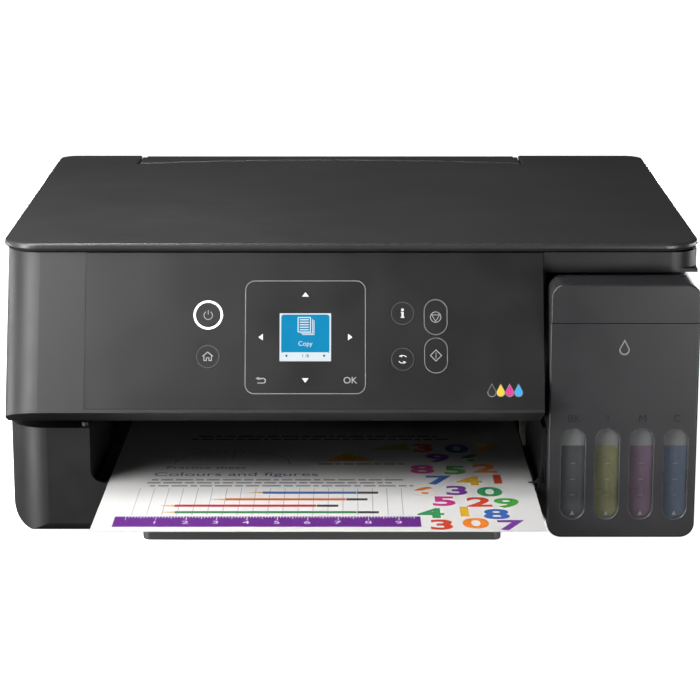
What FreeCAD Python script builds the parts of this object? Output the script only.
"""Inkjet printer with refillable ink tanks, built as separate pieces in millimetres.

The origin is the centre of the footprint box, at the foot of the machine: +Z is up, -Y is the
front with the control panel, and +X is the side with the ink tanks.
"""
import FreeCAD, Part
import math
import os
from FreeCAD import Vector

# Driving dimensions of the whole machine
HALF_WIDTH = 195.0
REAR_Y = 208.25
TOTAL_HEIGHT = 166.0
SHEET_FRONT_Y = -208.25
WALL = 2.5
GAP = 0.4

# Lower case
CASE_LEFT = -192.5
CASE_RIGHT = 193.5
CASE_FRONT = -108.5
CASE_BOTTOM = 3.0
CASE_TOP = 63.6
CASE_FLOOR = CASE_BOTTOM + WALL
CASE_CORNER = 22.0
REAR_CORNER = 18.0
CASE_FOOT = 16.0
CASE_TOE = 5.0
SLOT_LEFT = -146.5
SLOT_RIGHT = 107.0
LIP_TOP = 31.5

# Scanner unit, which lifts on a hinge at the rear
HOUSING_LEFT = -193.0
HOUSING_RIGHT = 194.2
HOUSING_FRONT = -93.0
HOUSING_TOP = 160.6
HOUSING_WALL = 1.8
DECK_SPLIT_X = 106.9
SKIRT_BOTTOM = 65.0
HOUSING_CORNER = 16.0
TUB_FLOOR = 130.0
TUB_STEP_FLOOR = 149.2
CUTOUT_LEFT = -143.5
CUTOUT_RIGHT = 115.5
CUTOUT_Y = 170.0
UNIT_HINGE_Y = 202.5
UNIT_HINGE_Z = 155.5
UNIT_PIN_RADIUS = 2.0
RUNNING = 0.05

# Document cover
LID_FRONT = -95.25
LID_BOTTOM = 161.3
LID_CORNER = 20.0
LID_HINGE_Y = 205.5
LID_HINGE_Z = 161.6
LID_PIN_RADIUS = 1.25
LID_KNUCKLE_RADIUS = 2.4
LID_KNUCKLES_X = (-168.0, 141.0)

# Scanner glass: A4, long side across the machine
GLASS_LEFT = -188.0
GLASS_RIGHT = 113.0
GLASS_FRONT = -74.0
GLASS_REAR = 146.0
GLASS_TOP = 157.8
GLASS_THICKNESS = 2.5
SCAN_HOME_X = -168.0
SCAN_TRAVEL = 260.0

# Control panel: x runs across, distance t runs down the slope from its top edge
PANEL_TOP_Y = -93.25
PANEL_TOP_Z = 160.6
PANEL_BOTTOM_Y = -128.0
PANEL_BOTTOM_Z = 77.6
PANEL_LEFT = -193.0
INSET_LEFT = -147.4
PANEL_RIGHT = 106.5
PANEL_SLOPE = math.hypot(PANEL_TOP_Y - PANEL_BOTTOM_Y, PANEL_TOP_Z - PANEL_BOTTOM_Z)
PANEL_ANGLE = math.degrees(math.atan2(PANEL_TOP_Z - PANEL_BOTTOM_Z, PANEL_TOP_Y - PANEL_BOTTOM_Y))
PANEL_SKIN = 2.5
PANEL_WRAP_Y = -70.0
PANEL_WRAP_RADIUS = 20.0
UNDERSIDE_Y = -98.0
INSET_BOTTOM_T = PANEL_SLOPE - 2.0
KEY_GAP = 0.2
KEY_HEIGHT = 4.0
NAV_CENTRE = (-25.4, 47.7)
NAV_SIZE = (67.2, 64.0)
NAV_CORNER = 5.5
LCD_SIZE = (28.7, 27.1)
ROUND_KEYS = {
    "power_button": (-79.2, 35.3, 8.2),
    "home_button": (-79.3, 58.6, 6.5),
    "info_button": (28.4, 34.4, 6.5),
    "settings_button": (28.4, 60.1, 6.5),
}
LONG_KEYS = {
    "stop_button": (46.7, 36.5),
    "start_button": (46.8, 58.0),
}
LONG_KEY_SIZE = (13.4, 20.3)

# Ink tank unit at the right front corner
TANK_LEFT = 109.5
TANK_RIGHT = 192.0
TANK_FRONT = -119.7
TANK_REAR = -34.0
TANK_TOP = 148.0
TANK_SEAM = 126.0
TANK_CORNER = 7.5
TANK_FOOT = 8.0
TANK_EDGE = 1.2
TANK_WALL = 2.0
TANK_SPACE = 0.3
INK_TANK_WALL = 1.0
NECK_OUTER = 5.2
NECK_BORE = 4.0
EARS_X = (TANK_LEFT + 6.0, TANK_RIGHT - 9.0)
TANK_PITCH = 19.0
TANK_FIRST_X = 123.5
TANK_NAMES = ("black", "yellow", "magenta", "cyan")
WINDOW_WIDTH = 14.3
WINDOW_BOTTOM = 13.4
WINDOW_TOP = 66.7
INK_LEVEL = 55.6
COVER_HINGE_Y = -97.2
COVER_HINGE_Z = 145.0
CAP_RADIUS = 7.0
COVER_PIN_RADIUS = 1.2

# Rear feeder: its back slopes by this much from upright
FEED_LEAN = 30.0
FEED_TOP_Y = 200.0
FEED_TOP_Z = 160.0
FEED_LEFT = -139.3
FEED_RIGHT = 111.3
FEED_CENTRE_X = (FEED_LEFT + FEED_RIGHT) / 2
A4_WIDTH = 210.0
FLAP_HINGE_Y = 202.2
FLAP_HINGE_Z = 163.4
SUPPORT_BACK = -7.7
SUPPORT_FRONT = -5.0
FEEDER_BACK_WALL = -4.5
FEEDER_FRONT_WALL = 20.5
FEEDER_DEPTH = 104.0
CHEEK = 2.3
SUPPORT_LEFT = -118.0
SUPPORT_RIGHT = 90.0
EXTENSION_LEFT = -70.0
EXTENSION_RIGHT = 42.0
PINION_U = 45.0
GUIDE_PINION_TEETH = 11
RACK_DEPTH = (-2.4, -0.4)
HOPPER_TOP_U = 65.0
HOPPER_V = 1.0
HOPPER_PIN_RADIUS = 0.8
FLAP_PIN_RADIUS = 1.1
FLAP_REACH_SIDE = 175.9
FLAP_REACH_MIDDLE = 189.3
FLAP_TOP = 165.9
FLAP_THICKNESS = 2.6

# Paper output: the sheet and trays rise towards the front
TRAY_RISE = 2.87
SHEET_TOP_Z = 35.4
SHEET_THICKNESS = 0.4
SHEET_LEFT = -137.1
SHEET_RIGHT = 102.5
SHEET_LENGTH = 297.0

# Print mechanism, all on one pressed chassis
MECH_LEFT = -180.0
MECH_RIGHT = 184.0
MECH_FRONT = 24.0
MECH_BACK = 106.0
MECH_BOTTOM = 30.0
MECH_TOP = 122.0
CHASSIS_SHEET = 1.5
PAPER_PLANE_Z = 45.0
ROLLER_GAP = 0.3
FEED_ROLLER_Y = 98.0
FEED_ROLLER_RADIUS = 6.0
PINCH_RADIUS = 4.0
EJECT_ROLLER_Y = 32.0
EJECT_ROLLER_RADIUS = 4.5
STAR_RADIUS = 5.0
AXLE_RADIUS = 2.0
RAIL_Y = 80.0
RAIL_Z = 84.0
RAIL_RADIUS = 4.0
CARRIAGE_HOME_X = 146.0
CARRIAGE_WIDTH = 46.0
CARRIAGE_TRAVEL = 280.0
BELT_Y = 98.0
BELT_Z = 100.0
PULLEY_RADIUS = 5.0
BELT_THICKNESS = 1.2
IDLER_X = -168.0
IDLER_PIN_RADIUS = 1.5
DRIVE_PULLEY_X = 172.0
FEED_GEAR_TEETH = 34
PINION_TEETH = 12
GEAR_MODULE = 1.0
GEAR_X = (-187.0, -182.5)
PICKUP_U = 92.0
PICKUP_V = 14.5
PICKUP_RADIUS = 11.0


# Basic shapes

def box(x0, x1, y0, y1, z0, z1):
    return Part.makeBox(x1 - x0, y1 - y0, z1 - z0, Vector(x0, y0, z0))


def rod(radius, start, end):
    """A cylinder of this radius from one point to another."""
    start = Vector(*start)
    direction = Vector(*end) - start
    return Part.makeCylinder(radius, direction.Length, start, direction)


def tube(outer, inner, start, end):
    return rod(outer, start, end).cut(rod(inner, start, end))


def fuse(shapes):
    shapes = list(shapes)
    joined = shapes[0].multiFuse(shapes[1:])
    return joined.removeSplitter()


def cut(shape, tools):
    return shape.cut(Part.makeCompound(list(tools))).removeSplitter()


def prism_along_x(points_yz, x0, x1):
    points = [Vector(x0, y, z) for y, z in points_yz]
    face = Part.Face(Part.makePolygon(points + points[:1]))
    return face.extrude(Vector(x1 - x0, 0, 0))


def rounded_plate(x0, x1, y0, y1, z0, z1, radii):
    """A plate with rounded plan corners; radii go rear left, rear right, front right, front left."""
    plate = box(x0, x1, y0, y1, z0, z1)
    corners = ((x0, y1), (x1, y1), (x1, y0), (x0, y0))
    for (x, y), radius in zip(corners, radii):
        if radius > 0:
            edges = [edge for edge in plate.Edges if is_upright_at(edge, x, y)]
            plate = plate.makeFillet(radius, edges)
    return plate


def is_upright_at(edge, x, y):
    return all(math.hypot(v.X - x, v.Y - y) < 0.01 for v in edge.Vertexes)


def edges_where(shape, test):
    """Edges of the shape whose two ends both satisfy the test."""
    return [edge for edge in shape.Edges if all(test(v) for v in edge.Vertexes)]


def near(value, target, tolerance=0.01):
    return abs(value - target) < tolerance


def stadium(x, t, width, height, z0, z1):
    """An upright slot with round ends, drawn on the local plane."""
    return rounded_plate(x - width / 2, x + width / 2, t - height / 2, t + height / 2, z0, z1,
                         [min(width, height) / 2 - 0.01] * 4)


def on_panel(shape):
    """Puts a shape drawn with x across, y up the slope and z outwards onto the control panel."""
    placed = shape.copy()
    placed.rotate(Vector(0, 0, 0), Vector(1, 0, 0), PANEL_ANGLE)
    placed.translate(Vector(0, PANEL_TOP_Y, PANEL_TOP_Z))
    return placed


def in_feeder(shape):
    """Puts a shape drawn with x across, y up the feeder's back and z towards the front in place."""
    placed = shape.copy()
    placed.rotate(Vector(0, 0, 0), Vector(1, 0, 0), 90.0 - FEED_LEAN)
    placed.translate(Vector(0, FEED_TOP_Y, FEED_TOP_Z))
    return placed


def on_tray(shape):
    """Tips a level shape so that it falls away from the sheet's front edge towards the rear."""
    placed = shape.copy()
    placed.rotate(Vector(0, SHEET_FRONT_Y, SHEET_TOP_Z), Vector(1, 0, 0), -TRAY_RISE)
    return placed


def tank_centres():
    return [TANK_FIRST_X + index * TANK_PITCH for index in range(len(TANK_NAMES))]


# Base: lower case and what is fixed in it

def case_block(inset):
    """The lower case's outer form, or its hollow when it is inset by the wall."""
    left, right = CASE_LEFT + inset, CASE_RIGHT - inset
    front, rear = CASE_FRONT + inset, REAR_Y - inset
    low, high = CASE_BOTTOM + inset, CASE_TOP + inset
    rear_corner = REAR_CORNER - inset
    plan = rounded_plate(left, right, front, rear, low, high,
                         (rear_corner, rear_corner, rear_corner, CASE_CORNER - inset))
    across = box(left, right, front - 1, rear + 1, low, high)
    sides = [edge for edge in edges_where(across, lambda v: near(v.Z, low)) if near(edge.BoundBox.XLength, 0)]
    across = across.makeFillet(CASE_FOOT - inset, sides)
    along = box(left - 1, right + 1, front, rear, low, high)
    ends = [edge for edge in edges_where(along, lambda v: near(v.Z, low)) if near(edge.BoundBox.YLength, 0)]
    along = along.makeFillet(CASE_TOE - inset, ends)
    return plan.common(across).common(along)


def slot_corner(x_wall, side):
    """The rounded corner between the slot's lip and one of its sides."""
    radius = 7.5
    x_far = x_wall + side * radius
    corner = box(min(x_wall, x_far), max(x_wall, x_far), CASE_FRONT, CASE_FRONT + WALL,
                 LIP_TOP, LIP_TOP + radius)
    centre_z = LIP_TOP + radius
    drill = rod(radius, (x_far, CASE_FRONT - 1, centre_z), (x_far, CASE_FRONT + WALL + 1, centre_z))
    return corner.cut(drill)


def lower_case():
    inner_rear = 18.0
    bay_left = TANK_LEFT - 0.3
    bay_rear = TANK_REAR + GAP
    notch_left = SHEET_LEFT - 1.0
    notch_right = 104.5
    shell = case_block(0).cut(case_block(WALL))
    shell = cut(shell, [
        box(SLOT_LEFT, bay_left, CASE_FRONT - 1, CASE_FRONT + 20, LIP_TOP, CASE_TOP + 1),
        box(bay_left, HALF_WIDTH + 1, CASE_FRONT - 1, bay_rear, CASE_BOTTOM - 1, CASE_TOP + 1),
        on_tray(box(notch_left, notch_right, CASE_FRONT - 10, CASE_FRONT + 10, 26.0, 60.0)),
        box(FEED_LEFT, FEED_RIGHT, REAR_Y - 10, REAR_Y + 1, CASE_BOTTOM + 9, CASE_TOP + 1),
        box(-176.0, -146.0, REAR_Y - 5, REAR_Y + 1, 18.0, 42.0),
        box(150.0, 166.0, REAR_Y - 5, REAR_Y + 1, 20.0, 33.0),
    ])
    left_wall = box(SLOT_LEFT - 2, SLOT_LEFT, CASE_FRONT + 1, inner_rear, CASE_FLOOR - 1, CASE_TOP)
    right_wall = box(SLOT_RIGHT, bay_left, CASE_FRONT + 1, inner_rear, CASE_FLOOR - 1, CASE_TOP)
    bay_wall = box(SLOT_RIGHT, CASE_RIGHT - 1, bay_rear, bay_rear + 2, CASE_FLOOR - 1, CASE_TOP)
    column_top = rounded_plate(CASE_LEFT + 0.5, SLOT_LEFT, CASE_FRONT, inner_rear, CASE_TOP - WALL, CASE_TOP,
                               (0, 0, 0, CASE_CORNER))
    ledges = [
        on_tray(box(SLOT_LEFT - 1, -125.0, -92.0, inner_rear - 2, 26.5, 29.4)),
        on_tray(box(89.0, SLOT_RIGHT + 1, -92.0, inner_rear - 2, 26.5, 29.4)),
    ]
    corners = [slot_corner(SLOT_LEFT, 1), slot_corner(SLOT_RIGHT, -1)]
    pin_x, pin_y = SLOT_LEFT - 2.6, CASE_FRONT + 5
    rest_pin = rod(2.2, (pin_x, pin_y, CASE_TOP - 1), (pin_x, pin_y, CASE_TOP + 2.4))
    return fuse([shell, left_wall, right_wall, bay_wall, column_top, rest_pin] + ledges + corners)


def rubber_feet():
    radius = 7.0
    spots = ((-166.0, -82.0), (160.0, -8.0), (-168.0, 183.0), (168.0, 183.0))
    return Part.makeCompound([rod(radius, (x, y, 0), (x, y, CASE_BOTTOM)) for x, y in spots])


def rear_cover():
    plate = rounded_plate(FEED_LEFT + 0.5, FEED_RIGHT - 0.5, REAR_Y - WALL, REAR_Y,
                          CASE_BOTTOM + 9.6, 148.0, (0, 0, 0, 0))
    slot_height = 2.5
    vents = [box(x, x + 38, REAR_Y - WALL - 1, REAR_Y + 1, z, z + slot_height)
             for x in (-110.0, -62.0, -14.0, 34.0) for z in range(96, 132, 6)]
    return cut(plate, vents)


def side_plate(x):
    """One cheek of the chassis, with its bearing holes."""
    plate = box(x, x + CHASSIS_SHEET, MECH_FRONT, MECH_BACK, MECH_BOTTOM, MECH_TOP)
    motor_tab = box(x, x + CHASSIS_SHEET, MECH_BACK - 1, MECH_BACK + 30, MECH_BOTTOM - 6, 56.0)
    plate = fuse([plate, motor_tab])
    hole = AXLE_RADIUS + RUNNING
    motor_y, motor_z = pinion_axis()
    holes = [
        rod(hole, (x - 1, motor_y, motor_z), (x + 3, motor_y, motor_z)),
        rod(hole, (x - 1, FEED_ROLLER_Y, feed_axis_z()), (x + 3, FEED_ROLLER_Y, feed_axis_z())),
        rod(hole, (x - 1, EJECT_ROLLER_Y, eject_axis_z()), (x + 3, EJECT_ROLLER_Y, eject_axis_z())),
        rod(hole, (x - 1, FEED_ROLLER_Y, pinch_axis_z()), (x + 3, FEED_ROLLER_Y, pinch_axis_z())),
        rod(hole, (x - 1, EJECT_ROLLER_Y, star_axis_z()), (x + 3, EJECT_ROLLER_Y, star_axis_z())),
        rod(RAIL_RADIUS, (x - 1, RAIL_Y, RAIL_Z), (x + 3, RAIL_Y, RAIL_Z)),
    ]
    return cut(plate, holes)


def pinion_axis():
    """Centre of the motor pinion, straight behind the feed gear."""
    spacing = (FEED_GEAR_TEETH + PINION_TEETH) * GEAR_MODULE / 2
    return FEED_ROLLER_Y + spacing, feed_axis_z()


def feed_axis_z():
    return PAPER_PLANE_Z - FEED_ROLLER_RADIUS


def eject_axis_z():
    return PAPER_PLANE_Z - EJECT_ROLLER_RADIUS


def pinch_axis_z():
    return PAPER_PLANE_Z + PINCH_RADIUS + ROLLER_GAP


def star_axis_z():
    return PAPER_PLANE_Z + STAR_RADIUS + ROLLER_GAP


def chassis_frame():
    back_y = MECH_BACK - CHASSIS_SHEET
    back = box(MECH_LEFT, MECH_RIGHT, back_y, MECH_BACK, 62.0, MECH_TOP)
    apron = box(MECH_LEFT, MECH_RIGHT, MECH_FRONT - CHASSIS_SHEET, MECH_FRONT, 62.0, 76.0)
    top_fold = box(MECH_LEFT, MECH_RIGHT, back_y - 8, MECH_BACK, MECH_TOP - CHASSIS_SHEET, MECH_TOP)
    windows = [box(x, x + 46, back_y - 1, MECH_BACK + 1, 70.0, 86.0) for x in range(-160, 140, 66)]
    motor_hole = rod(AXLE_RADIUS, (DRIVE_PULLEY_X, back_y - 1, BELT_Z),
                     (DRIVE_PULLEY_X, MECH_BACK + 1, BELT_Z))
    idler_pin = rod(IDLER_PIN_RADIUS, (IDLER_X, BELT_Y - 4, BELT_Z), (IDLER_X, back_y + 0.5, BELT_Z))
    right_cheek = side_plate(MECH_RIGHT - CHASSIS_SHEET)
    back = cut(back, windows + [motor_hole])
    return fuse([back, apron, top_fold, idler_pin, side_plate(MECH_LEFT), right_cheek])


def carriage_rail():
    return rod(RAIL_RADIUS, (MECH_LEFT - 3, RAIL_Y, RAIL_Z), (MECH_RIGHT + 3, RAIL_Y, RAIL_Z))


def platen():
    top = box(-150.0, 116.0, 40.0, 90.0, PAPER_PLANE_Z - 3.5, PAPER_PLANE_Z - 1.0)
    ribs = [box(x, x + 1.5, 40.0, 90.0, PAPER_PLANE_Z - 1.2, PAPER_PLANE_Z - 0.3)
            for x in range(-140, 112, 18)]
    front = box(-150.0, 116.0, 40.0, 42.0, PAPER_PLANE_Z - 10, PAPER_PLANE_Z - 3)
    guide = prism_along_x([(107.5, 38.0), (107.5, 40.5), (150.0, 58.5), (150.0, 56.0)],
                          FEED_LEFT + 12, FEED_RIGHT - 12)
    return Part.makeCompound([fuse([top, front] + ribs), guide])


def waste_ink_pad():
    return box(108.0, 177.0, 40.0, 92.0, CASE_FLOOR + 0.3, CASE_FLOOR + 18)


def capping_station():
    centre = CARRIAGE_HOME_X
    cup_top = PAPER_PLANE_Z - 0.6
    tray = box(centre - 22, centre + 22, 42.0, 90.0, 30.0, cup_top - 4)
    cup = box(centre - 14, centre + 14, 50.0, 78.0, cup_top - 4, cup_top)
    hollow = box(centre - 12, centre + 12, 52.0, 76.0, cup_top - 3, cup_top + 1)
    return fuse([tray, cup]).cut(hollow)


def power_supply():
    body = box(-186.0, -152.0, -90.0, 8.0, CASE_FLOOR + 6, CASE_TOP - 8)
    slots = [box(-190.0, -184.0, y, y + 4, 24.0, 44.0) for y in range(-80, 0, 10)]
    return cut(body, slots)


def main_board():
    y = 150.0
    board = box(118.0, 186.0, y, 188.0, 30.0, 31.6)
    chips = [
        box(130.0, 148.0, 156.0, 174.0, 31.6, 33.4),
        box(156.0, 168.0, 156.0, 166.0, 31.6, 33.0),
        box(156.0, 176.0, 172.0, 180.0, 31.6, 35.0),
    ]
    return fuse([board] + chips)


def rear_sockets():
    inlet = box(-175.6, -146.4, REAR_Y - 26, REAR_Y - 0.6, 18.4, 41.6)
    inlet_mouth = box(-170.0, -152.0, REAR_Y - 16, REAR_Y, 24.0, 36.0)
    pins = [rod(1.2, (x, REAR_Y - 16.5, 30.0), (x, REAR_Y - 5, 30.0)) for x in (-165.0, -157.0)]
    data = box(150.4, 165.6, REAR_Y - 18, REAR_Y - 0.6, 20.4, 32.6)
    data_mouth = box(153.5, 162.5, REAR_Y - 10, REAR_Y, 22.5, 30.5)
    tongue = box(155.5, 160.5, REAR_Y - 10.5, REAR_Y - 3, 25.5, 27.5)
    return Part.makeCompound([fuse([inlet.cut(inlet_mouth)] + pins), fuse([data.cut(data_mouth), tongue])])


def drive_motors():
    feed_y, feed_z = pinion_axis()
    feed = rod(14.0, (MECH_LEFT + 1.6, feed_y, feed_z), (MECH_LEFT + 24, feed_y, feed_z))
    carriage = rod(12.0, (DRIVE_PULLEY_X, MECH_BACK + 0.1, BELT_Z), (DRIVE_PULLEY_X, MECH_BACK + 26, BELT_Z))
    return Part.makeCompound([feed, carriage])


def case_screws():
    """Pan-head screws that hold the rear cover."""
    heads = []
    for x in (-128.0, 100.0):
        for z in (20.0, 138.0):
            head = rod(3.0, (x, REAR_Y - WALL - 1.6, z), (x, REAR_Y - WALL, z))
            shank = rod(1.4, (x, REAR_Y - WALL - 8, z), (x, REAR_Y - WALL - 1.6, z))
            heads.append(fuse([head, shank]))
    return Part.makeCompound(heads)


# Print mechanism: rollers, carriage and belt

def toothed_profile(teeth, module, phase_deg):
    """Outline of a spur wheel as (across, up) points, with a tooth centred on the phase angle."""
    pitch_radius = teeth * module / 2
    tip = pitch_radius + 0.7 * module
    root = pitch_radius - 1.1 * module
    step = 2 * math.pi / teeth
    points = []
    for index in range(teeth):
        middle = math.radians(phase_deg) + index * step
        for radius, offset in ((root, -0.26), (tip, -0.11), (tip, 0.11), (root, 0.26)):
            angle = middle + offset * step
            points.append((radius * math.cos(angle), radius * math.sin(angle)))
    return points


def wheel_along_x(teeth, module, phase_deg, x0, x1, y, z):
    profile = toothed_profile(teeth, module, phase_deg)
    return prism_along_x([(y + across, z + up) for across, up in profile], x0, x1)


def feed_roller():
    z = feed_axis_z()
    shaft = rod(AXLE_RADIUS, (GEAR_X[0], FEED_ROLLER_Y, z), (MECH_RIGHT + 1, FEED_ROLLER_Y, z))
    sleeve = rod(FEED_ROLLER_RADIUS, (-148.0, FEED_ROLLER_Y, z), (114.0, FEED_ROLLER_Y, z))
    gear = wheel_along_x(FEED_GEAR_TEETH, GEAR_MODULE, 0.0, GEAR_X[0], GEAR_X[1], FEED_ROLLER_Y, z)
    return fuse([shaft, sleeve, gear])


def motor_pinion():
    y, z = pinion_axis()
    half_tooth = 180.0 / PINION_TEETH
    shaft = rod(AXLE_RADIUS, (GEAR_X[0], y, z), (MECH_LEFT + 1.3, y, z))
    gear = wheel_along_x(PINION_TEETH, GEAR_MODULE, 180.0 + half_tooth, GEAR_X[0], GEAR_X[1], y, z)
    return fuse([shaft, gear])


def eject_roller():
    z = eject_axis_z()
    shaft = rod(AXLE_RADIUS, (MECH_LEFT - 3, EJECT_ROLLER_Y, z), (MECH_RIGHT + 1, EJECT_ROLLER_Y, z))
    sleeves = [rod(EJECT_ROLLER_RADIUS, (x, EJECT_ROLLER_Y, z), (x + 16, EJECT_ROLLER_Y, z))
               for x in range(-140, 100, 34)]
    return fuse([shaft] + sleeves)


def pinch_rollers():
    z = pinch_axis_z()
    axle = rod(AXLE_RADIUS, (MECH_LEFT - 1, FEED_ROLLER_Y, z), (MECH_RIGHT + 1, FEED_ROLLER_Y, z))
    rollers = [rod(PINCH_RADIUS, (x, FEED_ROLLER_Y, z), (x + 22, FEED_ROLLER_Y, z))
               for x in range(-136, 90, 34)]
    return fuse([axle] + rollers)


def star_wheels():
    z = star_axis_z()
    axle = rod(AXLE_RADIUS, (MECH_LEFT - 1, EJECT_ROLLER_Y, z), (MECH_RIGHT + 1, EJECT_ROLLER_Y, z))
    wheel_module = STAR_RADIUS / 7
    stars = [wheel_along_x(12, wheel_module, 15.0, x, x + 1.2, EJECT_ROLLER_Y, z)
             for x in range(-132, 100, 34)]
    return fuse([axle] + stars)


def print_carriage():
    left = CARRIAGE_HOME_X - CARRIAGE_WIDTH / 2
    right = CARRIAGE_HOME_X + CARRIAGE_WIDTH / 2
    body = prism_along_x([(46, 53), (92, 53), (92, 96), (84, 112), (58, 112), (46, 80)], left, right)
    bays = [box(x, x + 8, 50.0, 70.0, 70.0, 113.0) for x in (left + 3, left + 14, left + 25, left + 35)]
    bore = rod(RAIL_RADIUS + RUNNING, (left - 1, RAIL_Y, RAIL_Z), (right + 1, RAIL_Y, RAIL_Z))
    return cut(body, bays + [bore])


def print_head():
    return box(CARRIAGE_HOME_X - 12, CARRIAGE_HOME_X + 12, 50.0, 78.0, PAPER_PLANE_Z + 0.5, 53.0)


def belt_loop(radius, y0, y1):
    """A solid loop shape round both pulleys, with this radius at its ends."""
    ends = [rod(radius, (x, y0, BELT_Z), (x, y1, BELT_Z)) for x in (IDLER_X, DRIVE_PULLEY_X)]
    return fuse(ends + [box(IDLER_X, DRIVE_PULLEY_X, y0, y1, BELT_Z - radius, BELT_Z + radius)])


def carriage_belt():
    inner = PULLEY_RADIUS + ROLLER_GAP
    return belt_loop(inner + BELT_THICKNESS, BELT_Y - 2.5, BELT_Y + 2.5).cut(
        belt_loop(inner, BELT_Y - 3, BELT_Y + 3))


def drive_pulley():
    hub = rod(PULLEY_RADIUS, (DRIVE_PULLEY_X, BELT_Y - 3, BELT_Z), (DRIVE_PULLEY_X, BELT_Y + 3, BELT_Z))
    shaft = rod(IDLER_PIN_RADIUS, (DRIVE_PULLEY_X, BELT_Y + 2.5, BELT_Z), (DRIVE_PULLEY_X, MECH_BACK, BELT_Z))
    return fuse([hub, shaft])


def idler_pulley():
    return tube(PULLEY_RADIUS, IDLER_PIN_RADIUS + RUNNING, (IDLER_X, BELT_Y - 3, BELT_Z),
                (IDLER_X, BELT_Y + 3, BELT_Z))


# Rear paper feeder: y runs up its leaning back, z towards the front


def rear_feeder():
    """Hopper walls, channels for the paper support, and the pins that the scanner unit turns on."""
    front_wall = box(FEED_LEFT, FEED_RIGHT, -62.0, 8.0, FEEDER_FRONT_WALL, FEEDER_FRONT_WALL + 2)
    back_wall = box(FEED_LEFT, FEED_RIGHT, -FEEDER_DEPTH, 4.0, FEEDER_BACK_WALL, 0.0)
    cheeks = [box(x, x + CHEEK, -FEEDER_DEPTH, 8.0, SUPPORT_BACK - 2, FEEDER_FRONT_WALL + 2)
              for x in (FEED_LEFT, FEED_RIGHT - CHEEK)]
    floor = box(FEED_LEFT, FEED_RIGHT, -FEEDER_DEPTH - 2, -FEEDER_DEPTH, FEEDER_BACK_WALL, 2.5)
    channels = []
    for x, inward in ((SUPPORT_LEFT, 1), (SUPPORT_RIGHT, -1)):
        near_x = x - inward * GAP
        outer = sorted((near_x, near_x - inward * 2.5))
        lip = sorted((near_x, near_x + inward * 5))
        channels.append(box(outer[0], outer[1], -FEEDER_DEPTH, -8.0, SUPPORT_BACK - 2, FEEDER_BACK_WALL))
        channels.append(box(lip[0], lip[1], -FEEDER_DEPTH, -8.0, SUPPORT_BACK - 2, SUPPORT_BACK - GAP))
    groove = box(FEED_LEFT + CHEEK + 2, FEED_RIGHT - CHEEK - 2, -PINION_U - 13, -PINION_U + 13,
                 RACK_DEPTH[0] - GAP, 0.1)
    hopper_bay = box(-122.0, 94.0, -FEEDER_DEPTH + 3, -61.0, FEEDER_BACK_WALL + 2.5, 0.1)
    shell = cut(fuse([front_wall, back_wall, floor] + cheeks + channels), [groove, hopper_bay])
    level_top = box(FEED_LEFT - 1, FEED_RIGHT + 1, 100.0, REAR_Y + 10, 158.6, 200.0)
    pickup_y, pickup_z = pickup_axis()
    axle_holes = rod(AXLE_RADIUS + RUNNING, (FEED_LEFT - 1, pickup_y, pickup_z),
                     (FEED_RIGHT + 1, pickup_y, pickup_z))
    guide_pin = in_feeder(rod(IDLER_PIN_RADIUS, (FEED_CENTRE_X, -PINION_U, RACK_DEPTH[0] - 1),
                              (FEED_CENTRE_X, -PINION_U, RACK_DEPTH[1])))
    hopper_y, hopper_z = hopper_axis()
    behind_rear = box(FEED_LEFT - 1, FEED_RIGHT + 1, REAR_Y - 0.8, REAR_Y + 10, 0.0, 200.0)
    shell = in_feeder(shell).cut(level_top).cut(behind_rear).cut(axle_holes)
    shell = shell.cut(rod(HOPPER_PIN_RADIUS + RUNNING, (-124.0, hopper_y, hopper_z),
                          (96.0, hopper_y, hopper_z)))
    pins = []
    ears = []
    for x, outward in ((FEED_LEFT, -1), (FEED_RIGHT, 1)):
        pins.append(rod(UNIT_PIN_RADIUS, (x - outward, UNIT_HINGE_Y, UNIT_HINGE_Z),
                        (x + outward * 5.6, UNIT_HINGE_Y, UNIT_HINGE_Z)))
        inner = x - outward * CHEEK
        x0, x1 = sorted((x, inner))
        neck = box(x0, x1, FLAP_HINGE_Y - 2.2, FLAP_HINGE_Y + 2.2, 156.0, FLAP_HINGE_Z)
        crown = rod(2.2, (x0, FLAP_HINGE_Y, FLAP_HINGE_Z), (x1, FLAP_HINGE_Y, FLAP_HINGE_Z))
        bore = rod(FLAP_PIN_RADIUS + RUNNING, (x0 - 1, FLAP_HINGE_Y, FLAP_HINGE_Z),
                   (x1 + 1, FLAP_HINGE_Y, FLAP_HINGE_Z))
        ears.append(neck.fuse(crown).cut(bore))
    legs = [box(x, x + CHEEK, 138.0, 191.0, CASE_FLOOR, 76.0) for x in (FEED_LEFT, FEED_RIGHT - CHEEK)]
    return fuse([shell, guide_pin] + pins + ears + legs)


def pickup_axis():
    lean = math.radians(FEED_LEAN)
    y = FEED_TOP_Y - PICKUP_U * math.sin(lean) - PICKUP_V * math.cos(lean)
    z = FEED_TOP_Z - PICKUP_U * math.cos(lean) + PICKUP_V * math.sin(lean)
    return y, z


def hopper_axis():
    """The hopper plate turns on pins near its upper edge."""
    lean = math.radians(FEED_LEAN)
    y = FEED_TOP_Y - HOPPER_TOP_U * math.sin(lean) + HOPPER_V * math.cos(lean)
    z = FEED_TOP_Z - HOPPER_TOP_U * math.cos(lean) - HOPPER_V * math.sin(lean)
    return y, z


def hopper_plate():
    plate = box(-119.0, 91.0, -98.0, -HOPPER_TOP_U - 1.2, -1.6, -0.2)
    hooks = [box(x, x + 6, -HOPPER_TOP_U - 2, -HOPPER_TOP_U + 0.8, -1.6, -0.2) for x in (-119.0, 85.0)]
    y, z = hopper_axis()
    pins = [rod(HOPPER_PIN_RADIUS, (x, y, z), (x + 6.5, y, z)) for x in (-123.6, 89.1)]
    return fuse([in_feeder(plate)] + [in_feeder(hook) for hook in hooks] + pins)


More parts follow.
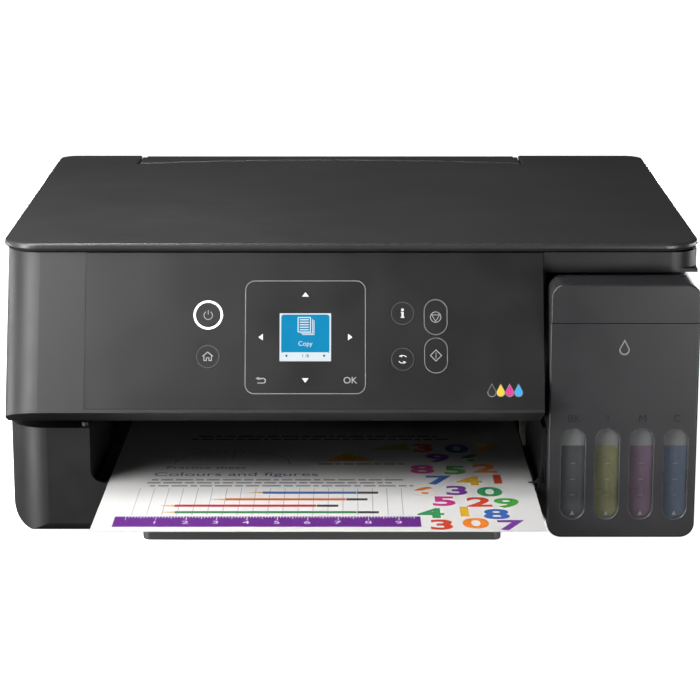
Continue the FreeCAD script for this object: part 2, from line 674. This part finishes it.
def pickup_roller():
    y, z = pickup_axis()
    axle = rod(AXLE_RADIUS, (FEED_LEFT - 2, y, z), (FEED_RIGHT + 2, y, z))
    core = rod(PICKUP_RADIUS - 3, (-40.0, y, z), (12.0, y, z))
    tyres = [rod(PICKUP_RADIUS, (x, y, z), (x + 16, y, z)) for x in (-36.0, -8.0)]
    return fuse([axle, core] + tyres)


def edge_guide(side):
    """One paper guide with its toothed arm: side is -1 for the left guide and 1 for the right."""
    inner = FEED_CENTRE_X + side * A4_WIDTH / 2
    outer = inner + side * 2
    fence_x = sorted((inner, outer))
    fence = box(fence_x[0], fence_x[1], -PINION_U - 18, -PINION_U + 24, 0.4, 17.0)
    foot_x = sorted((inner + side * 1, inner - side * 9))
    foot_y = sorted((-PINION_U - side * 10, -PINION_U + side * 4))
    foot = box(foot_x[0], foot_x[1], foot_y[0], foot_y[1], RACK_DEPTH[0], RACK_DEPTH[1])
    stem = box(foot_x[0], foot_x[1], foot_y[0], foot_y[1], RACK_DEPTH[1] - 0.5, 1.0)
    pitch_radius = GUIDE_PINION_TEETH / 2
    arm_far = FEED_CENTRE_X - side * 50
    arm_x = sorted((inner - side * 8, arm_far))
    line = -PINION_U - side * pitch_radius
    edge = line + side * 0.6
    arm_y = sorted((edge, edge - side * 5))
    arm = box(arm_x[0], arm_x[1], arm_y[0], arm_y[1], RACK_DEPTH[0], RACK_DEPTH[1])
    pitch = math.pi
    count = int((arm_x[1] - arm_x[0]) / pitch) - 1
    notches = []
    for index in range(-count, count + 1):
        x = FEED_CENTRE_X + index * pitch + rack_phase(side)
        if arm_x[0] + 2 < x < arm_x[1] - 2:
            depth = sorted((edge + side * 0.5, edge - side * 1.6))
            notches.append(box(x - 0.95, x + 0.95, depth[0], depth[1], RACK_DEPTH[0] - 1, RACK_DEPTH[1] + 1))
    return in_feeder(fuse([fence, foot, stem, cut(arm, notches)]))


def rack_phase(side):
    """The pinion has a tooth pointing up the slope, so the rack below it is half a pitch out."""
    return math.pi / 2 if side > 0 else 0.0


def guide_pinion():
    profile = toothed_profile(GUIDE_PINION_TEETH, 1.0, 90.0)
    points = [Vector(FEED_CENTRE_X + across, -PINION_U + up, RACK_DEPTH[0]) for across, up in profile]
    outline = Part.Face(Part.makePolygon(points + points[:1]))
    wheel = outline.extrude(Vector(0, 0, RACK_DEPTH[1] - RACK_DEPTH[0]))
    bore = rod(IDLER_PIN_RADIUS + RUNNING, (FEED_CENTRE_X, -PINION_U, -9), (FEED_CENTRE_X, -PINION_U, 9))
    return in_feeder(wheel.cut(bore))


def paper_support():
    """Sliding plate behind the hopper wall, with a pocket at its back for its extension."""
    plate = box(SUPPORT_LEFT, SUPPORT_RIGHT, -FEEDER_DEPTH, -1.0, SUPPORT_BACK, SUPPORT_FRONT)
    pocket = box(EXTENSION_LEFT - GAP, EXTENSION_RIGHT + GAP, -FEEDER_DEPTH + 6, 0.0,
                 SUPPORT_BACK - 1, SUPPORT_BACK + 1.5)
    return in_feeder(plate.cut(pocket))


def support_extension():
    plate = box(EXTENSION_LEFT, EXTENSION_RIGHT, -FEEDER_DEPTH + 8, -1.5, SUPPORT_BACK, SUPPORT_BACK + 1.2)
    grip = box(-34.0, 6.0, -6.0, -1.5, SUPPORT_BACK - 0.8, SUPPORT_BACK + 0.1)
    return in_feeder(plate.fuse(grip).removeSplitter())


def bowed_plate(x0, x1, y_side, y_middle, y_rear, z0, z1):
    """A plate whose front edge is an arc that bows to the rear in the middle."""
    middle_x = (x0 + x1) / 2
    start = Vector(x0, y_side, z0)
    end = Vector(x1, y_side, z0)
    front = Part.Arc(start, Vector(middle_x, y_middle, z0), end).toShape()
    right = Part.LineSegment(end, Vector(x1, y_rear, z0)).toShape()
    rear = Part.LineSegment(Vector(x1, y_rear, z0), Vector(x0, y_rear, z0)).toShape()
    left = Part.LineSegment(Vector(x0, y_rear, z0), start).toShape()
    return Part.Face(Part.Wire([front, right, rear, left])).extrude(Vector(0, 0, z1 - z0))


def rear_feed_cover():
    plate = bowed_plate(FEED_LEFT, FEED_RIGHT, FLAP_REACH_SIDE, FLAP_REACH_MIDDLE, FLAP_HINGE_Y + 2.4,
                        FLAP_TOP - FLAP_THICKNESS, FLAP_TOP)
    top_front = [edge for edge in plate.Edges
                 if near(edge.BoundBox.ZMin, FLAP_TOP) and edge.BoundBox.YMin < FLAP_REACH_SIDE + 0.1
                 and edge.BoundBox.XLength > 100]
    plate = plate.makeChamfer(1.9, top_front)
    inner = CHEEK + GAP
    ear_room = [box(x, x + inner + 0.5, FLAP_HINGE_Y - 3.2, REAR_Y, 150.0, FLAP_TOP + 1)
                for x in (FEED_LEFT - 0.5, FEED_RIGHT - inner)]
    plate = cut(plate, ear_room)
    knuckle = rod(2.2, (FEED_LEFT + inner, FLAP_HINGE_Y, FLAP_HINGE_Z),
                  (FEED_RIGHT - inner, FLAP_HINGE_Y, FLAP_HINGE_Z))
    pins = [rod(FLAP_PIN_RADIUS, (x, FLAP_HINGE_Y, FLAP_HINGE_Z), (x + 4, FLAP_HINGE_Y, FLAP_HINGE_Z))
            for x in (FEED_LEFT + 0.4, FEED_RIGHT - 4.4)]
    return fuse([plate, knuckle] + pins)


# Paper output, drawn level at the sheet's front edge and then tipped

def rounded_front(x0, x1, y0, y1, z0, z1, radius):
    """A plate whose two front plan corners are rounded."""
    return rounded_plate(x0, x1, y0, y1, z0, z1, (0, 0, radius, radius))


def paper_sheet():
    top = SHEET_TOP_Z
    return on_tray(box(SHEET_LEFT, SHEET_RIGHT, SHEET_FRONT_Y, SHEET_FRONT_Y + SHEET_LENGTH,
                       top - SHEET_THICKNESS, top))


def tray_extension():
    plate = rounded_front(-109.5, 78.6, -204.0, -86.0, 32.3, 34.6, 9.0)
    lip = rounded_front(-109.5, 78.6, -204.0, -200.0, 29.3, 34.6, 3.9)
    bottom = [edge for edge in lip.Edges if near(edge.BoundBox.ZMax, 29.3) and edge.BoundBox.YMin < -203.9]
    lip = lip.makeFillet(1.2, bottom)
    stop_ribs = [box(x, x + 2, -198.0, -90.0, 34.5, 34.7) for x in (-90.0, -40.0, 9.0, 57.0)]
    return on_tray(fuse([plate, lip] + stop_ribs))


def output_tray():
    plate = rounded_front(-134.0, 98.0, -148.0, 40.0, 29.8, 32.0, 6.0)
    lip = rounded_front(-134.0, 98.0, -148.0, -144.0, 26.8, 32.0, 3.9)
    curbs = [box(x, x + 6, -146.0, 38.0, 31.5, 34.6) for x in (-134.0, 92.0)]
    return on_tray(fuse([plate, lip] + curbs))


# Ink tank unit

def soft_block(x0, x1, y0, y1, z0, z1, corner_z, radius, edge):
    """A block whose two long edges at one height are rounded, and whose front face has a softened outline."""
    block = box(x0, x1, y0, y1, z0, z1)
    block = block.makeFillet(radius, [e for e in edges_where(block, lambda v: near(v.Z, corner_z))
                                      if e.BoundBox.YLength > radius])
    if edge == 0:
        return block
    keep_z = z0 if corner_z == z1 else z1
    outline = [e for e in edges_where(block, lambda v: near(v.Y, y0)) if not near(e.BoundBox.ZMin, keep_z)
               or not near(e.BoundBox.ZMax, keep_z)]
    return block.makeFillet(edge, outline)


def tank_block(inset, z0, z1, edge=0):
    return soft_block(TANK_LEFT + inset, TANK_RIGHT - inset, TANK_FRONT + inset, TANK_REAR - inset,
                      z0, z1, z0, TANK_FOOT - inset, edge)


def window(x, margin):
    """The upright slot in front of one tank, larger all round by the margin."""
    half = WINDOW_WIDTH / 2 + margin
    low = WINDOW_BOTTOM - margin + half
    high = WINDOW_TOP + margin - half
    rounds = [rod(half, (x, TANK_FRONT - 1, z), (x, TANK_FRONT + 4, z)) for z in (low, high)]
    return fuse(rounds + [box(x - half, x + half, TANK_FRONT - 1, TANK_FRONT + 4, low, high)])


def tank_housing():
    """Shell round the tanks, with its windows, the deck under the cover and the cover's hinge ears."""
    deck_front = COVER_HINGE_Y + 3.9
    body = tank_block(0, CASE_BOTTOM, TANK_SEAM, TANK_EDGE)
    hollow = tank_block(TANK_WALL, CASE_BOTTOM + TANK_WALL, TANK_SEAM - TANK_WALL)
    tower = soft_block(TANK_LEFT, TANK_RIGHT, deck_front, TANK_REAR, TANK_SEAM - 3, TANK_TOP - 0.4,
                       TANK_TOP - 0.4, TANK_CORNER, 0)
    tower_hollow = box(TANK_LEFT + TANK_WALL, TANK_RIGHT - TANK_WALL, deck_front + TANK_WALL,
                       TANK_REAR - TANK_WALL, TANK_SEAM - 4, TANK_TOP - 0.4 - TANK_WALL)
    necks = [rod(NECK_BORE + 0.6, (x, cap_y(), TANK_SEAM - 3), (x, cap_y(), TANK_SEAM + 1))
             for x in tank_centres()]
    shell = fuse([body.cut(hollow), tower]).cut(tower_hollow)
    shell = cut(shell, necks + [window(x, 0) for x in tank_centres()])
    ears = []
    for x in EARS_X:
        arm = box(x, x + 3, COVER_HINGE_Y, deck_front + 1, COVER_HINGE_Z - 1.9, COVER_HINGE_Z + 1.9)
        crown = rod(1.9, (x, COVER_HINGE_Y, COVER_HINGE_Z), (x + 3, COVER_HINGE_Y, COVER_HINGE_Z))
        bore = rod(COVER_PIN_RADIUS + RUNNING, (x - 1, COVER_HINGE_Y, COVER_HINGE_Z),
                   (x + 4, COVER_HINGE_Y, COVER_HINGE_Z))
        ears.append(arm.fuse(crown).cut(bore))
    return fuse([shell] + ears)


def cap_y():
    return (TANK_FRONT + COVER_HINGE_Y) / 2 + 0.4


def tank_cover():
    rear = COVER_HINGE_Y + 1.7
    low = TANK_SEAM + 0.4
    outer = soft_block(TANK_LEFT + 0.2, TANK_RIGHT, TANK_FRONT, rear, low, TANK_TOP,
                       TANK_TOP, TANK_CORNER, TANK_EDGE)
    ceiling = TANK_TOP - TANK_WALL
    inner = soft_block(TANK_LEFT + 0.2 + TANK_WALL, TANK_RIGHT - TANK_WALL, TANK_FRONT + TANK_WALL, rear + 1,
                       low - 1, ceiling, ceiling, TANK_CORNER - TANK_WALL, 0)
    shell = outer.cut(inner)
    pins = []
    rooms = []
    for ear in EARS_X:
        rooms.append(box(ear - GAP, ear + 3 + GAP, COVER_HINGE_Y - 2.6, rear + 1,
                         COVER_HINGE_Z - 3, TANK_TOP + 1))
        pins.append(rod(COVER_PIN_RADIUS, (ear - 2, COVER_HINGE_Y, COVER_HINGE_Z),
                        (ear + 5, COVER_HINGE_Y, COVER_HINGE_Z)))
    return fuse([cut(shell, rooms)] + pins)


def tank_cap(x):
    """A push-in stopper: knurled grip above the deck and a short stem in the tank's neck."""
    deck = TANK_SEAM
    grip = rod(CAP_RADIUS, (x, cap_y(), deck + 1.6), (x, cap_y(), deck + 8.6))
    grip = grip.makeFillet(1.2, [edge for edge in grip.Edges if near(edge.BoundBox.ZMin, deck + 8.6)])
    grooves = []
    for index in range(16):
        angle = math.radians(index * 22.5)
        cx = x + (CAP_RADIUS + 0.5) * math.cos(angle)
        cy = cap_y() + (CAP_RADIUS + 0.5) * math.sin(angle)
        grooves.append(rod(0.9, (cx, cy, deck + 1.0), (cx, cy, deck + 7.4)))
    stem = rod(NECK_BORE - 0.8, (x, cap_y(), deck - 6.0), (x, cap_y(), deck + 2.0))
    return fuse([cut(grip, grooves), stem])


def tank_cell(x, inset, z0, z1, radius):
    """The room of one ink tank, drawn in by inset from its neighbours and from the housing's inside."""
    half = TANK_PITCH / 2 - TANK_SPACE - inset
    front = TANK_FRONT + TANK_WALL + TANK_SPACE + inset
    cell = rounded_plate(x - half, x + half, front, TANK_REAR - 3 - inset, z0, z1, (0, 0, radius, radius))
    depth = TANK_WALL + TANK_SPACE + inset
    shell = tank_block(depth, CASE_BOTTOM + depth, TANK_SEAM)
    return cell.common(shell)


def ink_tanks():
    """Four clear tanks side by side, each open at its neck."""
    floor = CASE_BOTTOM + 3
    top = 104.0
    tanks = []
    for x in tank_centres():
        outer = tank_cell(x, 0, floor, top, 3.5)
        inner = tank_cell(x, INK_TANK_WALL, floor + 1.2, top - INK_TANK_WALL, 2.5)
        neck = tube(NECK_OUTER, NECK_BORE, (x, cap_y(), top - 0.5), (x, cap_y(), TANK_SEAM - 2.2))
        mouth = rod(NECK_BORE, (x, cap_y(), top - 2), (x, cap_y(), top + 1))
        tanks.append(outer.cut(inner).cut(mouth).fuse(neck))
    return Part.makeCompound(tanks)


def ink_fill():
    """The ink in each tank, up to its level."""
    return Part.makeCompound([tank_cell(x, INK_TANK_WALL, CASE_BOTTOM + 4.2, INK_LEVEL, 2.5)
                              for x in tank_centres()])


def ink_tubes():
    """Four supply tubes from the tanks to the space above the print carriage."""
    radius = 1.3
    pitch = 3.4
    tubes = []
    for index in range(len(TANK_NAMES)):
        x = 168.0 + index * pitch
        y = 34.0 + index * pitch
        path = [(x, -31.2, 12.0), (x, 16.0, 12.0), (x, 16.0, 117.5), (x, y, 117.5), (-30.0, y, 117.5)]
        runs = [rod(radius, start, end) for start, end in zip(path, path[1:])]
        bends = [Part.makeSphere(radius, Vector(*point)) for point in path[1:-1]]
        tubes.append(fuse(runs + bends))
    return Part.makeCompound(tubes)


# Scanner unit


def housing_outline(inset, z0, z1):
    return rounded_plate(HOUSING_LEFT + inset, HOUSING_RIGHT - inset, HOUSING_FRONT + inset, REAR_Y - inset,
                         z0, z1, (REAR_CORNER - inset, REAR_CORNER - inset, HOUSING_CORNER - inset, 0))


def scanner_housing():
    """Upper case: skirt, scanner tub, frame round the glass, and the two rear arms it hinges on."""
    far = HALF_WIDTH + 5
    top_low = HOUSING_TOP - 2.6
    skirt = housing_outline(0, SKIRT_BOTTOM, HOUSING_TOP)
    skirt = skirt.cut(housing_outline(HOUSING_WALL, SKIRT_BOTTOM - 1, top_low))
    skirt = cut(skirt, [
        box(-far, DECK_SPLIT_X, HOUSING_FRONT - 1, -90.4, 0, TOTAL_HEIGHT),
        box(-far, HOUSING_LEFT + 20, HOUSING_FRONT - 1, PANEL_WRAP_Y + 0.3, 0, TOTAL_HEIGHT),
        box(DECK_SPLIT_X - 1, far, HOUSING_FRONT - 1, TANK_REAR + 1, 0, TUB_STEP_FLOOR),
        box(CUTOUT_LEFT, CUTOUT_RIGHT, CUTOUT_Y, REAR_Y + 1, 0, TOTAL_HEIGHT),
        box(-far, far, LID_HINGE_Y - 3.0, REAR_Y + 1, 158.8, TOTAL_HEIGHT),
        box(GLASS_LEFT + 1, GLASS_RIGHT - 1, GLASS_FRONT + 1, GLASS_REAR - 1, top_low - 1, HOUSING_TOP + 1),
    ])
    front_wall = box(HOUSING_LEFT + PANEL_WRAP_RADIUS + 2, DECK_SPLIT_X, -90.4, -88.4,
                     SKIRT_BOTTOM, HOUSING_TOP)
    corner_top = box(HOUSING_LEFT + 3.1, HOUSING_LEFT + 21, -90.4, GLASS_FRONT, top_low, HOUSING_TOP)
    tub_floor = box(HOUSING_LEFT + 3, 108.0, -89.0, 150.5, TUB_FLOOR, TUB_FLOOR + 2)
    step_wall = box(106.6, 108.6, -92.0, 150.5, TUB_FLOOR, TUB_STEP_FLOOR + 2)
    step_floor = box(107.0, HOUSING_RIGHT - 1, -92.0, 150.5, TUB_STEP_FLOOR, TUB_STEP_FLOOR + 2)
    rear_wall = box(HOUSING_LEFT + 1, HOUSING_RIGHT - 1, 148.3, 150.5, TUB_STEP_FLOOR, top_low + 0.5)
    rear_wall_low = box(HOUSING_LEFT + 1, 108.6, 148.3, 150.5, TUB_FLOOR, TUB_STEP_FLOOR + 1)
    side_walls = [
        box(HOUSING_LEFT + 3, HOUSING_LEFT + 4.5, -89.0, 150.0, TUB_FLOOR, GLASS_TOP - GLASS_THICKNESS),
        box(HOUSING_LEFT + 1, HOUSING_LEFT + 4, PANEL_WRAP_Y + 1, 150.0, TUB_FLOOR, TUB_FLOOR + 2),
        box(114.0, 116.0, -90.0, 149.0, TUB_STEP_FLOOR + 1, top_low + 0.5),
    ]
    ledge_top = GLASS_TOP - GLASS_THICKNESS
    ledge = box(HOUSING_LEFT + 3, 115.0, -89.0, 149.0, ledge_top - 2, ledge_top)
    ledge = ledge.cut(box(GLASS_LEFT + 5, GLASS_RIGHT - 5, GLASS_FRONT + 5, GLASS_REAR - 5, 150.0, 160.0))
    arms = [box(x, x + 2.2, CUTOUT_Y - 2, REAR_Y - 1, 142.0, top_low + 0.5)
            for x in (CUTOUT_LEFT - 2.2, CUTOUT_RIGHT)]
    cut_wall = box(CUTOUT_LEFT - 2, CUTOUT_RIGHT + 2, CUTOUT_Y - 2, CUTOUT_Y, top_low - 2, top_low + 0.5)
    rail = rod(3.0, (HOUSING_LEFT + 4, 38.0, TUB_FLOOR + 7), (107.0, 38.0, TUB_FLOOR + 7))
    whole = fuse([skirt, front_wall, corner_top, tub_floor, step_wall, step_floor, rear_wall, rear_wall_low,
                  ledge, cut_wall, rail] + side_walls + arms)
    holes = [rod(UNIT_PIN_RADIUS + RUNNING, (x - 6, UNIT_HINGE_Y, UNIT_HINGE_Z),
                 (x + 6, UNIT_HINGE_Y, UNIT_HINGE_Z))
             for x in (CUTOUT_LEFT, CUTOUT_RIGHT)]
    posts = [box(x - 4.1, x + 4.1, LID_HINGE_Y - 3, LID_HINGE_Y + 0.7, 150.0, TOTAL_HEIGHT)
             for x in LID_KNUCKLES_X]
    whole = cut(whole, holes + posts + [wrap_room()])
    return max(whole.Solids, key=lambda solid: solid.Volume)


def scanner_glass():
    return box(GLASS_LEFT, GLASS_RIGHT, GLASS_FRONT, GLASS_REAR, GLASS_TOP - GLASS_THICKNESS, GLASS_TOP)


def scan_module():
    """The light bar under the glass, carried on a round rail."""
    half = 9.0
    bar = box(SCAN_HOME_X - half, SCAN_HOME_X + half, GLASS_FRONT + 6, GLASS_REAR - 6, 142.0, 152.6)
    shoe = box(SCAN_HOME_X - half, SCAN_HOME_X + half, 30.0, 46.0, TUB_FLOOR + 2.6, 143.0)
    bore = rod(3.0 + RUNNING, (SCAN_HOME_X - 12, 38.0, TUB_FLOOR + 7),
               (SCAN_HOME_X + 12, 38.0, TUB_FLOOR + 7))
    lens = box(SCAN_HOME_X - 2, SCAN_HOME_X + 2, GLASS_FRONT + 9, GLASS_REAR - 9, 151.4, 153.0)
    return fuse([bar, shoe]).cut(bore).cut(lens)


def hinge_rod(radius, x0, x1):
    """A rod on the document cover's hinge axis."""
    return rod(radius, (x0, LID_HINGE_Y, LID_HINGE_Z), (x1, LID_HINGE_Y, LID_HINGE_Z))


def document_cover():
    """Hollow lid with a rounded rim on top and an undercut below it, and its hinge pins at the rear."""
    top_fillet = 1.7
    inside = 4.0
    undercut = 1.9
    skin = 2.4
    plate = rounded_plate(-HALF_WIDTH, HALF_WIDTH, LID_FRONT, REAR_Y, LID_BOTTOM, TOTAL_HEIGHT,
                          (12.0, 12.0, LID_CORNER, LID_CORNER))
    bay = bowed_plate(-140.2, 112.2, 174.3, 187.7, REAR_Y + 5, LID_BOTTOM - 1, TOTAL_HEIGHT + 1)
    foot = [edge for edge in plate.Edges if near(edge.BoundBox.ZMax, LID_BOTTOM)
            and edge.BoundBox.YMax < REAR_Y - 40]
    plate = plate.makeChamfer(undercut, foot)
    plate = plate.cut(bay)
    hollow = rounded_plate(-HALF_WIDTH + inside, HALF_WIDTH - inside, LID_FRONT + inside, 166.0,
                           LID_BOTTOM - 1, TOTAL_HEIGHT - skin,
                           (4, 4, LID_CORNER - inside, LID_CORNER - inside))
    rim = [edge for edge in plate.Edges if near(edge.BoundBox.ZMin, TOTAL_HEIGHT)]
    plate = plate.makeFillet(top_fillet, rim)
    ribs = [box(x, x + 1.5, LID_FRONT + 2, 166.5, LID_BOTTOM + 0.3, TOTAL_HEIGHT - skin + 0.2)
            for x in (120.0, 150.0)]
    rooms = []
    bosses = []
    for x in LID_KNUCKLES_X:
        rooms.append(box(x - 5.4, x + 5.4, LID_HINGE_Y - 3.2, REAR_Y + 1, LID_BOTTOM - 1, TOTAL_HEIGHT - 1.6))
        for x0, x1 in ((x - 11, x - 5.4), (x + 5.4, x + 11)):
            bosses.append(hinge_rod(LID_KNUCKLE_RADIUS, x0, x1))
        bosses.append(hinge_rod(LID_PIN_RADIUS, x - 6, x + 6))
    return fuse([cut(plate, [hollow] + rooms)] + ribs + bosses)


def lid_pad():
    return rounded_plate(GLASS_LEFT + 2, GLASS_RIGHT - 2, GLASS_FRONT + 2, GLASS_REAR - 2,
                         GLASS_TOP + 0.4, TOTAL_HEIGHT - 2.4, (3, 3, 3, 3))


def lid_hinges():
    """Two posts that stand in the rear arms, each with a knuckle round the lid's pin."""
    hinges = []
    for x in LID_KNUCKLES_X:
        post = box(x - 4, x + 4, LID_HINGE_Y - 2.8, LID_HINGE_Y + 0.6, 140.0, LID_HINGE_Z)
        knuckle = hinge_rod(LID_KNUCKLE_RADIUS, x - 5, x + 5)
        bore = hinge_rod(LID_PIN_RADIUS + RUNNING, x - 6, x + 6)
        hinges.append(fuse([post, knuckle]).cut(bore))
    return Part.makeCompound(hinges)


# Control panel

def wedge(inset, y_back, radius):
    """The leaning front of the scanner unit, hollow by the inset, with its left corner rounded."""
    slope = math.radians(90.0 - PANEL_ANGLE)
    shift = inset / math.cos(slope)
    lean = (PANEL_TOP_Y - PANEL_BOTTOM_Y) / (PANEL_TOP_Z - PANEL_BOTTOM_Z)
    low = SKIRT_BOTTOM + inset
    profile = [
        (PANEL_TOP_Y + shift, PANEL_TOP_Z),
        (PANEL_BOTTOM_Y + shift + inset * lean, PANEL_BOTTOM_Z + inset),
        (UNDERSIDE_Y, low),
        (y_back, low),
        (y_back, PANEL_TOP_Z),
    ]
    solid = prism_along_x(profile, PANEL_LEFT + inset, PANEL_RIGHT - inset)
    front_left = [edge for edge in solid.Edges
                  if near(edge.BoundBox.XMax, PANEL_LEFT + inset)
                  and edge.BoundBox.YMin < -100 and edge.BoundBox.ZLength > 40]
    return solid.makeFillet(radius, front_left)


def wrap_room():
    """What the housing leaves free for the frame's wall where it wraps round the left corner."""
    clear = PANEL_SKIN + GAP
    ring = wedge(-GAP, PANEL_WRAP_Y + GAP, PANEL_WRAP_RADIUS)
    ring = ring.cut(wedge(clear, PANEL_WRAP_Y + 9, PANEL_WRAP_RADIUS - clear))
    return ring.common(box(PANEL_LEFT - 5, PANEL_LEFT + PANEL_WRAP_RADIUS + 1, -200.0, 0, 0, TOTAL_HEIGHT))


def panel_frame():
    """The lighter surround: left wrap-round corner, strip under the inset panel, and underside."""
    back = -90.8
    outer = wedge(0, PANEL_WRAP_Y, PANEL_WRAP_RADIUS)
    inner = wedge(PANEL_SKIN, PANEL_WRAP_Y + 1, PANEL_WRAP_RADIUS - PANEL_SKIN)
    shell = outer.cut(inner)
    inset_room = on_panel(box(INSET_LEFT, PANEL_RIGHT + 1, -INSET_BOTTOM_T, 4.0, -PANEL_SKIN - 0.4, 1.0))
    past_corner = PANEL_LEFT + PANEL_WRAP_RADIUS + 1
    behind = box(past_corner, PANEL_RIGHT + 1, back, 0, 60.0, TOTAL_HEIGHT)
    top_slot = box(past_corner, PANEL_RIGHT + 1, -93.0, 0, PANEL_TOP_Z - 3, TOTAL_HEIGHT)
    return cut(shell, [inset_room, behind, top_slot])


def nav_outline(margin, z0, z1):
    x, t = NAV_CENTRE
    half_x = NAV_SIZE[0] / 2 + margin
    half_y = NAV_SIZE[1] / 2 + margin
    return rounded_plate(x - half_x, x + half_x, -t - half_y, -t + half_y, z0, z1, [NAV_CORNER + margin] * 4)


def key_outline(name, margin, z0, z1):
    if name in ROUND_KEYS:
        x, t, radius = ROUND_KEYS[name]
        return rod(radius + margin, (x, -t, z0), (x, -t, z1))
    x, t = LONG_KEYS[name]
    return stadium(x, -t, LONG_KEY_SIZE[0] + 2 * margin, LONG_KEY_SIZE[1] + 2 * margin, z0, z1)


def control_panel():
    """The inset front plate, with an opening for each key, the navigation pad and the display."""
    seam = 0.15
    plate = box(INSET_LEFT + seam, PANEL_RIGHT, -INSET_BOTTOM_T + seam, -0.2, -PANEL_SKIN, 0.0)
    openings = [key_outline(name, KEY_GAP, -5.0, 1.0) for name in list(ROUND_KEYS) + list(LONG_KEYS)]
    return on_panel(cut(plate, openings + [nav_outline(KEY_GAP, -5.0, 1.0)]))


def panel_key(name):
    """A key cap with a flange behind the panel that keeps it in."""
    cap = key_outline(name, 0, -KEY_HEIGHT, 0.2)
    flange = key_outline(name, 0.25 if name in LONG_KEYS else 1.2, -KEY_HEIGHT, -PANEL_SKIN - GAP)
    return on_panel(fuse([cap, flange]))


def nav_pad():
    """One pressable plate round the display, for the arrows, back and confirm places."""
    x, t = NAV_CENTRE
    half_x = LCD_SIZE[0] / 2 + KEY_GAP
    half_y = LCD_SIZE[1] / 2 + KEY_GAP
    plate = fuse([nav_outline(0, -KEY_HEIGHT, 0.0), nav_outline(1.2, -KEY_HEIGHT, -PANEL_SKIN - GAP)])
    return on_panel(plate.cut(box(x - half_x, x + half_x, -t - half_y, -t + half_y, -9.0, 1.0)))


def lcd_module():
    x, t = NAV_CENTRE
    half_x = LCD_SIZE[0] / 2
    half_y = LCD_SIZE[1] / 2
    glass = box(x - half_x, x + half_x, -t - half_y, -t + half_y, -7.0, -0.3)
    board = box(-92.0, 58.0, -76.0, -26.0, -8.4, -6.8)
    return on_panel(fuse([glass, board]))


def write_parts():
    parts = {
        "lower_case": lower_case(), "rubber_feet": rubber_feet(), "rear_cover": rear_cover(),
        "chassis_frame": chassis_frame(), "carriage_rail": carriage_rail(), "platen": platen(),
        "waste_ink_pad": waste_ink_pad(), "capping_station": capping_station(),
        "power_supply": power_supply(), "main_board": main_board(), "rear_sockets": rear_sockets(),
        "drive_motors": drive_motors(), "case_screws": case_screws(), "carriage_belt": carriage_belt(),
        "feed_roller": feed_roller(), "motor_pinion": motor_pinion(), "eject_roller": eject_roller(),
        "pinch_rollers": pinch_rollers(), "star_wheels": star_wheels(),
        "print_carriage": print_carriage(), "print_head": print_head(),
        "drive_pulley": drive_pulley(), "idler_pulley": idler_pulley(),
        "rear_feeder": rear_feeder(), "hopper_plate": hopper_plate(), "pickup_roller": pickup_roller(),
        "edge_guide_left": edge_guide(-1), "edge_guide_right": edge_guide(1),
        "guide_pinion": guide_pinion(), "paper_support": paper_support(),
        "support_extension": support_extension(), "rear_feed_cover": rear_feed_cover(),
        "paper_sheet": paper_sheet(), "output_tray": output_tray(), "tray_extension": tray_extension(),
        "tank_housing": tank_housing(), "tank_cover": tank_cover(), "ink_tanks": ink_tanks(),
        "ink_fill": ink_fill(), "ink_tubes": ink_tubes(),
        "scanner_housing": scanner_housing(), "scanner_glass": scanner_glass(),
        "scan_module": scan_module(), "document_cover": document_cover(), "lid_pad": lid_pad(),
        "lid_hinges": lid_hinges(), "panel_frame": panel_frame(), "control_panel": control_panel(),
        "nav_pad": nav_pad(), "lcd_module": lcd_module(),
    }
    for name, x in zip(TANK_NAMES, tank_centres()):
        parts["tank_cap_" + name] = tank_cap(x)
    for name in list(ROUND_KEYS) + list(LONG_KEYS):
        parts[name] = panel_key(name)
    os.makedirs("parts", exist_ok=True)
    for name, shape in parts.items():
        shape.exportStep("parts/" + name + ".step")
        print(name, "solids", len(shape.Solids), "valid", shape.isValid(), "volume", round(shape.Volume))
    print(len(parts), "parts")


write_parts()
